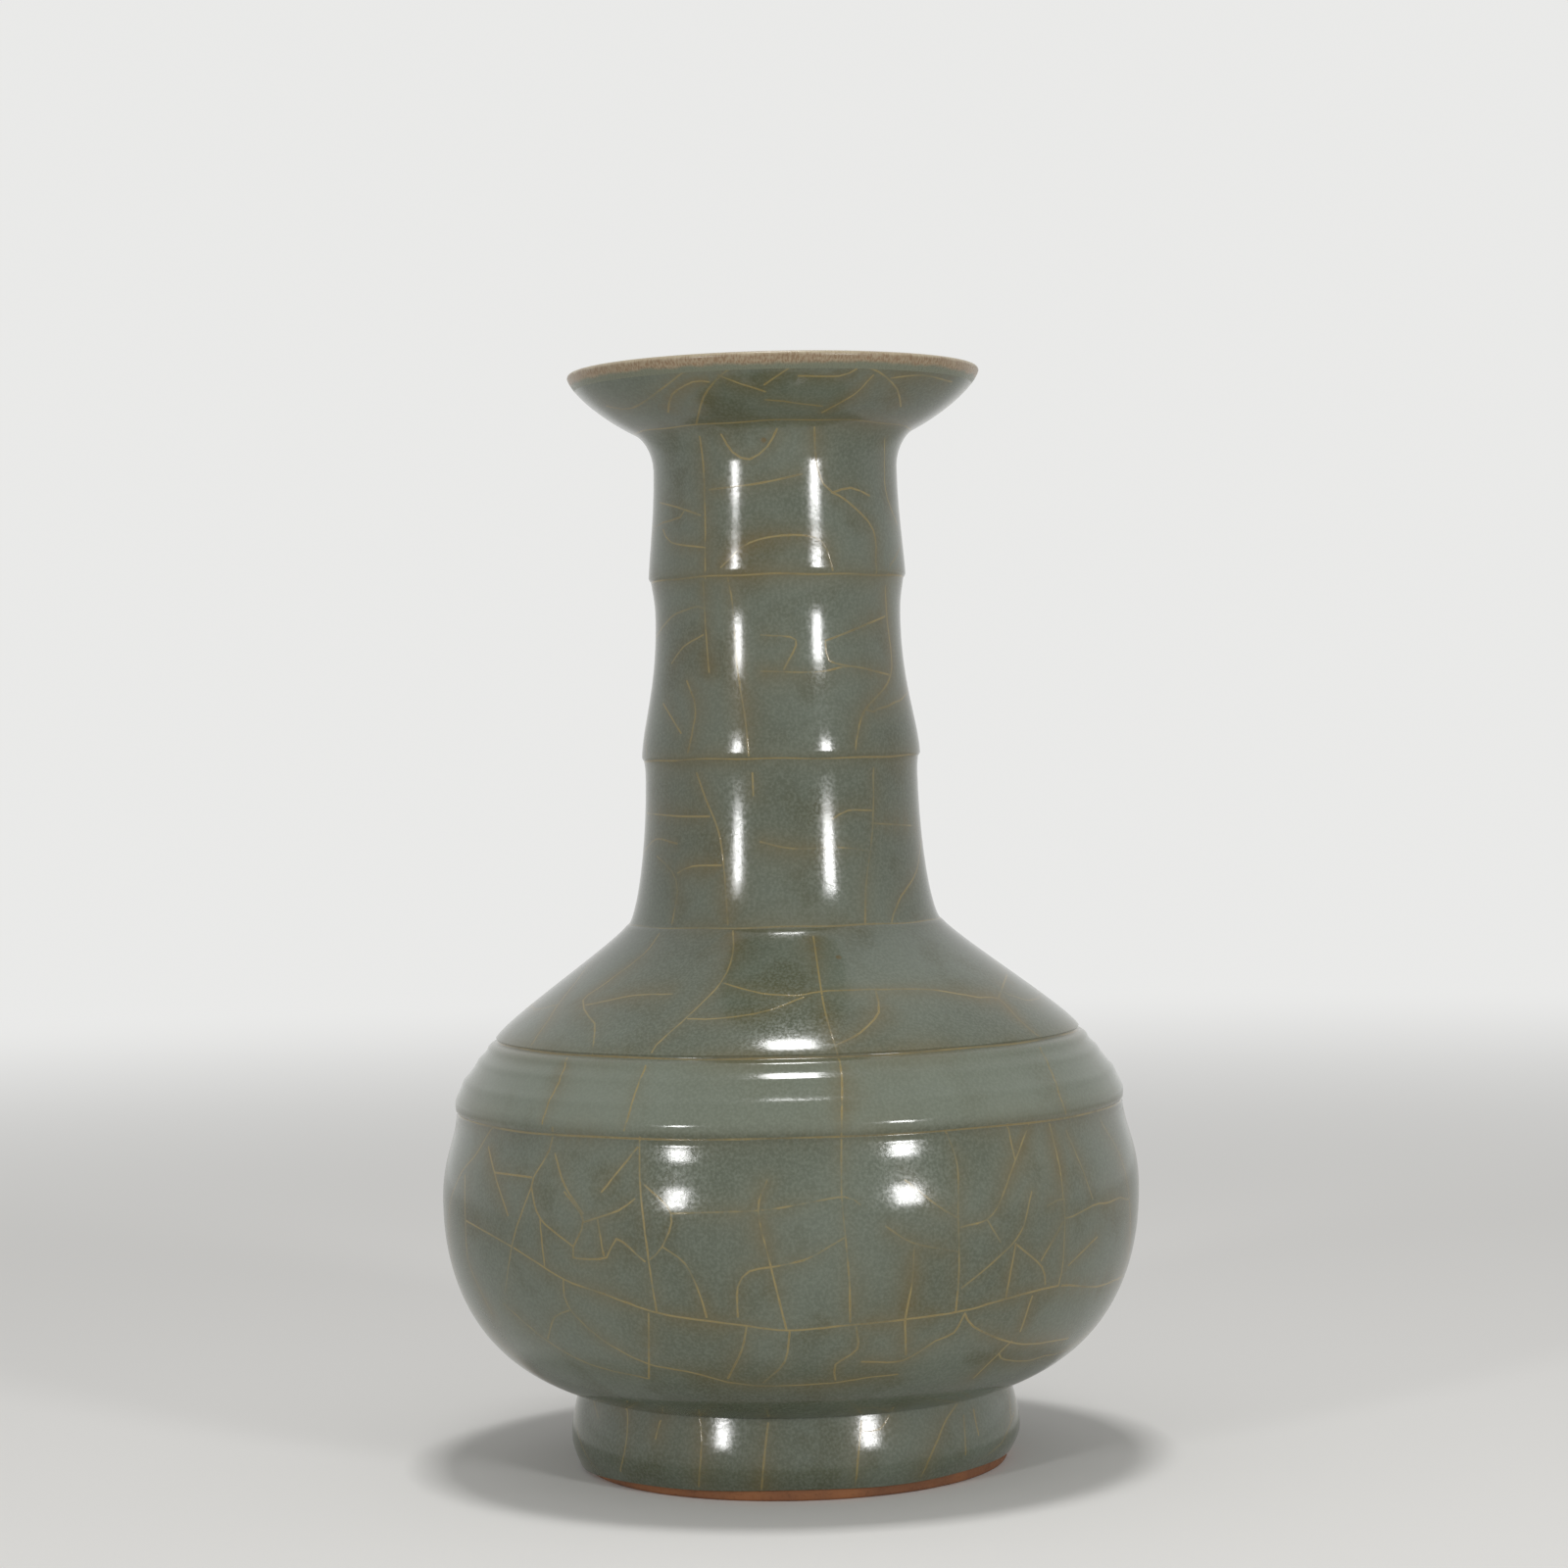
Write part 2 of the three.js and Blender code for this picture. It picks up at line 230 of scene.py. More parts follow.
@dataclass
class Profile:
    """The vase's section: its outside line and the layers of the wall beneath it, in mm."""

    step: float = 1.4
    foot_bare: float = 2.0
    foot_waist: tuple = (52.6, 19.4)
    band_low: tuple = (80.7, 87.0)
    band_top: tuple = (71.5, 104.0)
    neck_root: tuple = (37.9, 131.5)
    lower_ring: tuple = (33.8, 172.6)
    upper_ring: tuple = (31.25, 216.0)
    dish_base: tuple = (34.0, 250.4)
    lip: tuple = (50.0, 264.0)
    top: float = 265.0
    lip_band: float = 3.2
    lute: float = 1.0
    body_wall: float = 5.0
    neck_wall: float = 4.0
    dish_wall: float = 3.2
    lip_wall: float = 1.7
    outer_coat: float = 1.0
    inner_coat: float = 0.8
    lip_coat: float = 0.35
    line: np.ndarray = field(init=False)
    layers: dict = field(init=False)

    def __post_init__(self) -> None:
        """Builds the outside line and the layers."""
        self.line = np.array(self.outside())
        self.layers = self.through_wall()

    def outside(self) -> list:
        """Points of the outside from the glaze's lower edge to the lip."""
        s = self.step
        points = [(52.6, self.foot_bare)]
        points += bend(points[-1], (0.4, 0.3), (0, 0.4), (54.6, 8.0), s)
        points += bend(points[-1], (0, 0.35), (0.35, 0.35), self.foot_waist, s)
        points += bend(points[-1], (0.6, 0.12), (0, 0.56), (84.5, 66.0), s)
        points += bend(points[-1], (0, 0.5), (0.1, 0.3), (80.9, 86.3), s)
        points += [(80.45, 86.8), (80.5, 87.2), (81.0, 87.7), (81.1, 88.4)]
        band = bend(points[-1], (0.06, 0.35), (0.5, 0.4), (72.0, 103.2), 0.5)
        points += [(r + self.band_ridge(z), z) for r, z in band]
        points += [(71.5, 103.6), (70.75, 103.9), (70.6, 104.3), (70.85, 104.8)]
        points += bend(points[-1], (0.12, 0.2), (0.14, 0.2), (38.4, 131.0), s)
        points += [(37.85, 131.4), (37.55, 131.8)]
        points += bend(points[-1], (0.54, 0.13), (0, 0.45), (33.1, 167.8), s)
        points += bend(points[-1], (0, 0.4), (0.5, 0.4), (33.35, 170.6), s)
        points += [(33.45, 171.0), (33.75, 171.4), (33.88, 171.9)]
        points += bend(points[-1], (0.1, 0.25), (0, 0.5), (29.8, 205.4), s)
        points += bend(points[-1], (0, 0.5), (0.4, 0.3), (30.65, 213.9), s)
        points += [(30.75, 214.3), (31.05, 214.7), (31.25, 215.3)]
        points += bend(points[-1], (0.2, 0.25), (0, 0.4), (29.6, 241.4), s)
        points += bend(points[-1], (0, 0.5), (0.4, 0.1), (33.6, 250.1), s)
        points += [(34.0, 250.35), (34.5, 250.6)]
        points += bend(points[-1], (0.42, 0.25), (0.08, 0.3), self.lip, 0.8)
        return points

    @staticmethod
    def band_ridge(z: float) -> float:
        """How far the soft turned ridges of the shoulder band stand proud, in mm."""
        ridges = ((90.2, 0.22, 1.1), (94.6, 0.32, 1.0), (99.6, 0.36, 0.95), (102.7, 0.35, 0.6))
        return sum(tall * math.exp(-((z - middle) / wide) ** 2) for middle, tall, wide in ridges)

    def clay_wall(self, z: float) -> float:
        """Thickness of the clay at a height."""
        wall = mix(self.body_wall, self.neck_wall, share(z, self.band_top[1], self.neck_root[1]))
        wall = mix(wall, self.dish_wall, share(z, self.upper_ring[1], self.dish_base[1]))
        return mix(wall, self.lip_wall, share(z, self.dish_base[1], self.lip[1]))

    def coat(self, full: float, z: float) -> float:
        """Thickness of a coat of glaze at a height."""
        return mix(full, self.lip_coat, share(z, self.lip[1] - 2 * self.lip_band, self.lip[1]))

    def through_wall(self) -> dict:
        """The four layers as lines that share their stations."""
        smooth = self.line.copy()
        for _ in range(6):
            smooth[1:-1] = (smooth[:-2] + smooth[1:-1] * 2 + smooth[2:]) / 4
        along = np.gradient(smooth, axis=0)
        along /= np.linalg.norm(along, axis=1)[:, None]
        inward = np.stack([-along[:, 1], along[:, 0]], axis=1)
        z = self.line[:, 1]
        outer = np.array([self.coat(self.outer_coat, h) for h in z])[:, None]
        clay = np.array([self.clay_wall(h) for h in z])[:, None]
        inner = np.array([self.coat(self.inner_coat, h) for h in z])[:, None]
        outer_clay = self.line + inward * outer
        inner_clay = outer_clay + inward * clay
        return {Layer.OUTER_GLAZE: self.line, Layer.OUTER_CLAY: outer_clay, Layer.INNER_CLAY: inner_clay,
                Layer.INNER_GLAZE: inner_clay + inward * inner}

    def part(self, layer: Layer, low: float, high: float) -> list:
        """A layer between two heights of the outside, upwards."""
        z = self.line[:, 1]
        first, last = np.argmin(abs(z - low)), np.argmin(abs(z - high))
        return [tuple(p) for p in self.layers[layer][first:last + 1]]

    def radius_at(self, z: np.ndarray) -> np.ndarray:
        """Outer radius at heights, in mm."""
        return np.interp(z, self.line[:, 1], self.line[:, 0], left=0.0, right=0.0)


def wobble(theta: float, radius: float, z: float) -> float:
    """The slight unevenness of a hand-thrown wall, in mm."""
    place = Vector((math.cos(theta), math.sin(theta), z / 55.0))
    calm = share(z, 0.0, 20.0) * share(266.0 - z, 0.0, 14.0)
    lines = 0.008 * math.sin(z * 1.35 + 0.6 * math.sin(theta + z * 0.03))
    return calm * (0.32 * noise.noise(place) + lines) * min(radius / 40.0, 1.0)


def foot_wave(theta: float) -> float:
    """How far the glaze's lower edge runs above or below its mean, in mm."""
    return 1.05 * math.cos(theta + 0.7) + 0.28 * math.sin(3 * theta + 1.1) + 0.16 * math.sin(7 * theta)


@dataclass
class Turned:
    """A closed ring turned from a profile."""

    name: str
    node: str
    slot: str
    profile: list
    around: int = 96
    wavy_foot: bool = False

    def build(self) -> bpy.types.Object:
        """Makes the mesh, smooth-shaded, and puts it in the scene.

        Returns:
            The new object, riding on the vase's body and standing for its node.
        """
        verts, faces, rings = [], [], []
        for radius, z in self.profile:
            rings.append((len(verts), radius > 0))
            verts += self.ring(radius, z)
        for index, (start, open_ring) in enumerate(rings):
            after, open_after = rings[(index + 1) % len(rings)]
            faces += self.strip(start, open_ring, after, open_after)
        mesh = bpy.data.meshes.new(self.name)
        mesh.from_pydata(verts, [], faces)
        self.orient(mesh)
        piece = bpy.data.objects.new(self.name, mesh)
        bpy.context.scene.collection.objects.link(piece)
        mesh.shade_smooth()
        mesh.set_sharp_from_angle(angle=math.radians(50))
        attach(piece, BODY)
        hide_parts(self.node)
        LOG.info("%s: %d faces", self.name, len(mesh.polygons))
        return piece

    def ring(self, radius: float, z: float) -> list:
        """Vertices of one ring, or the one on the axis."""
        if radius <= 0:
            return [(0.0, 0.0, z * MM)]
        points = []
        for k in range(self.around):
            theta = 2 * math.pi * k / self.around
            r = radius + wobble(theta, radius, z)
            lift = foot_wave(theta) * (1 - share(z, 2.0, 9.0)) if self.wavy_foot else 0.0
            points.append((r * math.cos(theta) * MM, r * math.sin(theta) * MM, (z + lift) * MM))
        return points

    def strip(self, start: int, open_ring: bool, after: int, open_after: bool) -> list:
        """Faces between two rings, either of which may be the point on the axis."""
        n = self.around
        if not open_ring and not open_after:
            return []
        if not open_ring:
            return [(start, after + k, after + (k + 1) % n) for k in range(n)]
        if not open_after:
            return [(start + k, after, start + (k + 1) % n) for k in range(n)]
        return [(start + k, after + k, after + (k + 1) % n, start + (k + 1) % n) for k in range(n)]

    @staticmethod
    def orient(mesh: bpy.types.Mesh) -> None:
        """Turns the faces outwards."""
        work = bmesh.new()
        work.from_mesh(mesh)
        bmesh.ops.recalc_face_normals(work, faces=work.faces)
        if work.calc_volume(signed=True) < 0:
            bmesh.ops.reverse_faces(work, faces=work.faces)
        work.to_mesh(mesh)
        work.free()


@dataclass
class Crackle:
    """The network of cracks in the outer glaze: those read on the photograph and grown ones elsewhere.

    Each of creases is the height in mm of a turned crease and the strength of the crack that runs in it.
    """

    profile: Profile
    spacing: float = 10.5
    front_spacing: float = 17.0
    front_half_angle: float = math.radians(62)
    stride: float = 2.0
    join: float = 1.7
    headings: tuple = (0.25, 1.35)
    heading_spread: float = 0.25
    candidates: int = 5200
    creases: tuple = ((87.0, 0.75), (104.1, 0.8), (131.6, 0.5), (171.1, 0.8), (214.4, 0.85), (250.2, 0.7))
    crease_points: int = 150
    crease_waver: tuple = ((0.16, 3), (0.1, 11))
    segments: list = field(default_factory=list)
    grid: dict = field(default_factory=dict)
    lengths: np.ndarray | None = None

    def project(self, pixels: np.ndarray) -> list:
        """Places pixels of the photograph on the vase's outside.

        Args:
            pixels: Rows of x and y in the 1600 x 1600 frame.

        Returns:
            Points in mm, with None where a pixel misses the vase.
        """
        roll = math.radians(ROLL_DEG)
        dx, dy = pixels[:, 0] - CENTRE_PX, pixels[:, 1] - CENTRE_PX
        across = (CENTRE_PX + dx * math.cos(roll) - dy * math.sin(roll) - AXIS_PX) / FOCAL_PX
        up = -(CENTRE_PX + dx * math.sin(roll) + dy * math.cos(roll) - HORIZON_PX) / FOCAL_PX
        distance, height = CAMERA_DISTANCE / MM, CAMERA_HEIGHT / MM
        depth = np.arange(distance - 90.0, distance, 0.25)
        placed = []
        for a, u in zip(across, up):
            x, y, z = a * depth, depth - distance, height + u * depth
            hit = np.nonzero(np.hypot(x, y) <= self.profile.radius_at(z))[0]
            placed.append((x[hit[0]], y[hit[0]], z[hit[0]]) if len(hit) else None)
        return placed

    def read(self) -> None:
        """Adds the cracks read on the photograph."""
        rng = np.random.default_rng(SEED)
        for pixels in READ_CRACKS:
            fine = self.smooth(np.array(pixels, float))
            strength, previous = rng.uniform(0.65, 1.0), None
            for point in self.project(fine):
                if point is not None and previous is not None:
                    self.add(previous, point, strength)
                previous = point
        for z, strength in self.creases:
            self.ring_crack(z, strength)

    def ring_crack(self, z: float, strength: float) -> None:
        """Adds the wavering crack that runs all round in a turned crease."""
        (slow, waves), (quick, ripples) = self.crease_waver
        points = []
        for k in range(self.crease_points + 1):
            theta = 2 * math.pi * k / self.crease_points
            level = z + slow * math.sin(waves * theta + z) + quick * math.sin(ripples * theta)
            radius = float(self.profile.radius_at(level))
            points.append((radius * math.cos(theta), radius * math.sin(theta), level))
        for a, b in zip(points, points[1:]):
            self.add(a, b, strength)

    @staticmethod
    def smooth(points: np.ndarray, spacing: float = 9.0) -> np.ndarray:
        """A Catmull-Rom line through the read points, with a point about every spacing pixels."""
        padded = np.vstack([2 * points[0] - points[1], points, 2 * points[-1] - points[-2]])
        fine = [points[0]]
        for p0, p1, p2, p3 in zip(padded, padded[1:], padded[2:], padded[3:]):
            count = max(1, round(float(np.linalg.norm(p2 - p1)) / spacing))
            for t in np.linspace(0, 1, count + 1)[1:]:
                fine.append(0.5 * (2 * p1 + (p2 - p0) * t + (2 * p0 - 5 * p1 + 4 * p2 - p3) * t ** 2
                                   + (3 * p1 - p0 - 3 * p2 + p3) * t ** 3))
        return np.array(fine)

    def add(self, a: tuple, b: tuple, strength: float) -> None:
        """Adds one short piece of a crack and notes it in the grid."""
        self.segments.append((a, b, strength))
        self.note(b)
        self.note(a)

    def note(self, point: tuple) -> None:
        """Files a point under its cell."""
        cell = tuple(int(c // self.spacing) for c in point)
        self.grid.setdefault(cell, []).append(point)

    def nearest(self, point: tuple, reach: float) -> tuple | None:
        """The nearest filed point within reach, or None."""
        base = [int(c // self.spacing) for c in point]
        span = math.ceil(reach / self.spacing)
        best, found = reach, None
        for i in range(-span, span + 1):
            for j in range(-span, span + 1):
                for k in range(-span, span + 1):
                    for other in self.grid.get((base[0] + i, base[1] + j, base[2] + k), ()):
                        gap = math.dist(point, other)
                        if gap < best:
                            best, found = gap, other
        return found

    def surface(self, theta: float, along: float) -> tuple:
        """A point of the outside from its angle and its length along the profile."""
        r = float(np.interp(along, self.lengths, self.profile.line[:, 0]))
        z = float(np.interp(along, self.lengths, self.profile.line[:, 1]))
        return (r * math.cos(theta), r * math.sin(theta), z)

    def grow(self) -> None:
        """Fills the gaps, sides and back with seeded cracks that end on others."""
        steps = np.linalg.norm(np.diff(self.profile.line, axis=0), axis=1)
        self.lengths = np.concatenate([[0.0], np.cumsum(steps)])
        rng = np.random.default_rng(SEED)
        for _ in range(self.candidates):
            theta = rng.uniform(-math.pi, math.pi)
            along = rng.uniform(1.0, self.lengths[-1] - 3.0)
            turn = rng.choice(self.headings) * rng.choice([-1, 1]) + rng.normal(0, self.heading_spread)
            wander = rng.normal(0, 0.05)
            point = self.surface(theta, along)
            keep = rng.uniform(0, self.lengths[-1] * 84.5) < self.lengths[-1] * math.hypot(point[0], point[1])
            front = abs(math.remainder(theta + math.pi / 2, 2 * math.pi)) < self.front_half_angle
            reach = self.front_spacing if front else self.spacing
            if keep and self.nearest(point, reach) is None:
                self.walk(theta, along, turn, wander, rng)
                self.walk(theta, along, turn + math.pi, wander, rng)

    def walk(self, theta: float, along: float, turn: float, wander: float, rng: np.random.Generator) -> None:
        """Grows one crack until it meets another or runs off the glaze.

        Args:
            theta: Angle where it starts.
            along: Length along the profile where it starts.
            turn: Heading, 0 being level.
            wander: Steady bend per step.
            rng: The seeded source of its small turns.
        """
        own, point = [], self.surface(theta, along)
        strength = rng.uniform(0.35, 0.85)
        for _ in range(int(rng.integers(16, 60))):
            turn += wander + rng.normal(0, 0.09)
            radius = math.hypot(point[0], point[1])
            theta += self.stride * math.cos(turn) / radius
            along += self.stride * math.sin(turn)
            if not 0.0 < along < self.lengths[-1]:
                break
            after = self.surface(theta, along)
            met = self.nearest(after, self.join)
            own.append((point, met or after))
            point = after
            if met:
                break
        for a, b in own:
            self.add(a, b, strength)

    def dress(self, piece: bpy.types.Object) -> None:
        """Gives each face its three nearest pieces of crack, and each vertex its share of stain."""
        tree = kdtree.KDTree(len(self.segments))
        for index, (a, b, _) in enumerate(self.segments):
            tree.insert((Vector(a) + Vector(b)) * 0.5 * MM, index)
        tree.balance()
        mesh = piece.data
        data = {f"crack_{end}{n}": [] for n in range(3) for end in "ab"}
        for face in mesh.polygons:
            near = [self.segments[i] for _, i, _ in tree.find_n(face.center, 3)]
            for n, (a, b, _) in enumerate(near):
                data[f"crack_a{n}"] += [c * MM for c in a]
                data[f"crack_b{n}"] += [c * MM for c in b]
        for name, values in data.items():
            mesh.attributes.new(name, "FLOAT_VECTOR", "FACE").data.foreach_set("vector", values)
        stain, depth = [], []
        for vertex in mesh.vertices:
            _, index, gap = tree.find(vertex.co)
            strength = self.segments[index][2]
            patch = 0.5 + 0.5 * noise.noise(vertex.co * 45.0)
            stain.append(strength * math.exp(-gap / (mix(0.9, 4.2, patch) * MM)) * patch)
            depth.append(strength)
        mesh.attributes.new("stain", "FLOAT", "POINT").data.foreach_set("value", stain)
        mesh.attributes.new("crack_depth", "FLOAT", "POINT").data.foreach_set("value", depth)


class Nodes:
    """Short calls for building a node tree."""

    def __init__(self, tree: bpy.types.NodeTree) -> None:
        """Keeps the tree."""
        self.tree = tree

    def new(self, kind: str, **inputs: object) -> bpy.types.Node:
        """Adds a node and fills its inputs.

        Args:
            kind: The node's type name.
            inputs: Values or sockets by input name, with _ for a space.

        Returns:
            The node.
        """
        node = self.tree.nodes.new(kind)
        for name, value in inputs.items():
            self.feed(node.inputs[name.replace("_", " ")], value)
        return node

    def feed(self, socket: bpy.types.NodeSocket, value: object) -> None:
        """Links a socket to the input, or sets its value."""
        if isinstance(value, bpy.types.NodeSocket):
            self.tree.links.new(value, socket)
        else:
            socket.default_value = value

    def math(self, operation: str, *values: object) -> bpy.types.NodeSocket:
        """A Math node's output."""
        node = self.tree.nodes.new("ShaderNodeMath")
        node.operation = operation
        for socket, value in zip(node.inputs, values):
            self.feed(socket, value)
        return node.outputs[0]

    def vector(self, operation: str, *values: object) -> bpy.types.Node:
        """A Vector Math node."""
        node = self.tree.nodes.new("ShaderNodeVectorMath")
        node.operation = operation
        for socket, value in zip(node.inputs, values):
            self.feed(socket, value)
        return node

    def ramp(self, value: object, low: float, high: float,
             to_low: float = 0.0, to_high: float = 1.0) -> object:
        """A clamped Map Range's output."""
        node = self.new("ShaderNodeMapRange", Value=value)
        node.interpolation_type = "SMOOTHSTEP"
        for name, number in (("From Min", low), ("From Max", high), ("To Min", to_low), ("To Max", to_high)):
            node.inputs[name].default_value = number
        return node.outputs["Result"]

    def blend(self, amount: object, a: object, b: object) -> bpy.types.NodeSocket:
        """A colour between a and b."""
        node = self.tree.nodes.new("ShaderNodeMix")
        node.data_type = "RGBA"
        self.feed(node.inputs[0], amount)
        self.feed(node.inputs[6], a)
        self.feed(node.inputs[7], b)
        return node.outputs[2]

    def noise(self, place: object, scale: float, detail: float = 2.0) -> bpy.types.NodeSocket:
        """A Noise texture's value."""
        return self.new("ShaderNodeTexNoise", Vector=place, Scale=scale, Detail=detail).outputs["Fac"]

    def attribute(self, name: str, output: str) -> bpy.types.NodeSocket:
        """A named attribute of the mesh."""
        node = self.tree.nodes.new("ShaderNodeAttribute")
        node.attribute_name = name
        return node.outputs[output]


def new_group(name: str, inputs: dict, outputs: dict) -> tuple:
    """Makes an empty shader node group.

    Args:
        name: The group's name.
        inputs: Socket type by input name.
        outputs: Socket type by output name.

    Returns:
        The group, its Nodes helper, the outputs of its input node and the inputs of its output node.
    """
    tree = bpy.data.node_groups.new(name, "ShaderNodeTree")
    for label, kind in inputs.items():
        tree.interface.new_socket(label, in_out="INPUT", socket_type=kind)
    for label, kind in outputs.items():
        tree.interface.new_socket(label, in_out="OUTPUT", socket_type=kind)
    start = tree.nodes.new("NodeGroupInput")
    end = tree.nodes.new("NodeGroupOutput")
    return tree, Nodes(tree), start.outputs, end.inputs


def crack_gap_group() -> bpy.types.NodeTree:
    """Distance of a place from the short straight piece of crack between A and B."""
    sockets = {"Place": "NodeSocketVector", "A": "NodeSocketVector", "B": "NodeSocketVector"}
    tree, n, given, out = new_group("crack_gap", sockets, {"Gap": "NodeSocketFloat"})
    to_place = n.vector("SUBTRACT", given["Place"], given["A"]).outputs["Vector"]
    run = n.vector("SUBTRACT", given["B"], given["A"]).outputs["Vector"]
    ahead = n.vector("DOT_PRODUCT", to_place, run).outputs["Value"]
    whole = n.math("MAXIMUM", n.vector("DOT_PRODUCT", run, run).outputs["Value"], 1e-12)
    part = n.math("MINIMUM", n.math("MAXIMUM", n.math("DIVIDE", ahead, whole), 0.0), 1.0)
    scaled = n.vector("SCALE", run)
    n.feed(scaled.inputs["Scale"], part)
    away = n.vector("SUBTRACT", to_place, scaled.outputs["Vector"]).outputs["Vector"]
    n.feed(out["Gap"], n.vector("LENGTH", away).outputs["Value"])
    return tree


def speckle_group() -> bpy.types.NodeTree:
    """Fine bubbles and grain in the glaze, with its slow changes of tone."""
    outputs = {"Grain": "NodeSocketFloat", "Bubbles": "NodeSocketFloat", "Clouds": "NodeSocketFloat",
               "Specks": "NodeSocketFloat", "Waves": "NodeSocketFloat"}
    tree, n, given, out = new_group("glaze_speckle", {"Place": "NodeSocketVector"}, outputs)
    place = given["Place"]
    n.feed(out["Grain"], n.noise(place, 1500.0, 3.0))
    bubbles = n.new("ShaderNodeTexVoronoi", Vector=place, Scale=1100.0)
    n.feed(out["Bubbles"], n.ramp(bubbles.outputs["Distance"], 0.16, 0.34, 1.0, 0.0))
    n.feed(out["Clouds"], n.noise(place, 26.0, 4.0))
    specks = n.new("ShaderNodeTexVoronoi", Vector=place, Scale=85.0)
    n.feed(out["Specks"], n.ramp(specks.outputs["Distance"], 0.045, 0.075, 1.0, 0.0))
    n.feed(out["Waves"], n.noise(place, 70.0, 3.0))
    return tree


@dataclass(frozen=True)
class Celadon:
    """Thick grey-green glaze with bubbles, stained cracks and worn, paler ridges."""

    name: str = "celadon"
    green: tuple = (0.082, 0.096, 0.066, 1)
    grey: tuple = (0.116, 0.135, 0.103, 1)
    olive: tuple = (0.066, 0.070, 0.036, 1)
    ochre: tuple = (0.135, 0.098, 0.032, 1)
    crack: tuple = (0.262, 0.208, 0.086, 1)
    dark_crack: tuple = (0.130, 0.088, 0.030, 1)
    pale: tuple = (0.21, 0.238, 0.188, 1)
    thinness: float = 0.38
    ragged_m: float = 0.00022
    line_m: tuple = (0.00008, 0.00036)
    core_m: tuple = (0.00002, 0.00010)
    cracked: bool = True

    def build(self, groups: dict) -> bpy.types.Material:
        """Makes the material from the shared groups."""
        material = bpy.data.materials.new(self.name)
        material.use_nodes = True
        n = Nodes(material.node_tree)
        shader = material.node_tree.nodes["Principled BSDF"]
        place = n.new("ShaderNodeTexCoord").outputs["Object"]
        effects = n.tree.nodes.new("ShaderNodeGroup")
        effects.node_tree = groups["speckle"]
        n.feed(effects.inputs["Place"], place)
        colour = n.blend(n.ramp(effects.outputs["Clouds"], 0.38, 0.64), self.green, self.grey)
        colour = n.blend(n.ramp(effects.outputs["Waves"], 0.50, 0.72, 0.0, 0.70), colour, self.olive)
        colour = n.blend(n.ramp(effects.outputs["Grain"], 0.35, 0.7, 0.0, 0.30), colour, self.pale)
        colour = n.blend(n.math("MULTIPLY", effects.outputs["Bubbles"], 0.30), colour, self.grey)
        height = effects.outputs["Grain"]
        if self.cracked:
            colour = n.blend(self.thin_band(n, place), colour, self.pale)
            colour, height = self.add_cracks(n, groups, place, effects, colour)
        specks = n.math("MULTIPLY", effects.outputs["Specks"], n.ramp(effects.outputs["Clouds"], 0.6, 0.7))
        colour = n.blend(specks, colour, self.dark_crack)
        bump = n.new("ShaderNodeBump", Height=height, Strength=0.12, Distance=0.00006)
        n.feed(shader.inputs["Base Color"], colour)
        n.feed(shader.inputs["Roughness"], n.ramp(effects.outputs["Grain"], 0.3, 0.7, 0.10, 0.19))
        n.feed(shader.inputs["Normal"], bump.outputs["Normal"])
        shader.inputs["IOR"].default_value = 1.5
        return material

    def thin_band(self, n: Nodes, place: object) -> object:
        """Share of paleness from the thinner glaze on the shoulder band."""
        height = n.new("ShaderNodeSeparateXYZ", Vector=place).outputs["Z"]
        above = n.ramp(height, BAND_LOW_M, BAND_LOW_M + BAND_FADE_M, 0.0, self.thinness)
        return n.math("MULTIPLY", above, n.ramp(height, BAND_TOP_M - BAND_FADE_M, BAND_TOP_M, 1.0, 0.0))

    def add_cracks(self, n: Nodes, groups: dict, place: object, effects: object, colour: object) -> tuple:
        """Draws the cracks and their stain over a colour.

        Args:
            n: The material's nodes.
            groups: The shared groups by name.
            place: The place on the object.
            effects: The speckle group's node.
            colour: The glaze's own colour.

        Returns:
            The stained colour, and the height for the bump.
        """
        gaps = []
        for index in range(3):
            gap = n.tree.nodes.new("ShaderNodeGroup")
            gap.node_tree = groups["gap"]
            n.feed(gap.inputs["Place"], place)
            n.feed(gap.inputs["A"], n.attribute(f"crack_a{index}", "Vector"))
            n.feed(gap.inputs["B"], n.attribute(f"crack_b{index}", "Vector"))
            gaps.append(gap.outputs["Gap"])
        gap = n.math("MINIMUM", n.math("MINIMUM", gaps[0], gaps[1]), gaps[2])
        ragged = n.math("MULTIPLY", n.math("SUBTRACT", effects.outputs["Grain"], 0.5), self.ragged_m)
        gap = n.math("ADD", gap, ragged)
        depth = n.attribute("crack_depth", "Fac")
        line = n.math("MULTIPLY", n.ramp(gap, *self.line_m, 1.0, 0.0), n.ramp(depth, 0.2, 1.0, 0.40, 1.0))
        core = n.ramp(gap, *self.core_m, 1.0, 0.0)
        stain = n.math("MULTIPLY", n.attribute("stain", "Fac"), 1.1)
        stained = n.blend(stain, colour, self.ochre)
        broken = n.math("MULTIPLY", line, n.ramp(effects.outputs["Waves"], 0.34, 0.54, 0.35, 1.0))
        lined = n.blend(broken, stained, self.crack)
        shaded = n.blend(n.math("MULTIPLY", core, 0.6), lined, self.dark_crack)
        height = n.math("SUBTRACT", effects.outputs["Grain"], n.math("MULTIPLY", core, 1.5))
        return shaded, height


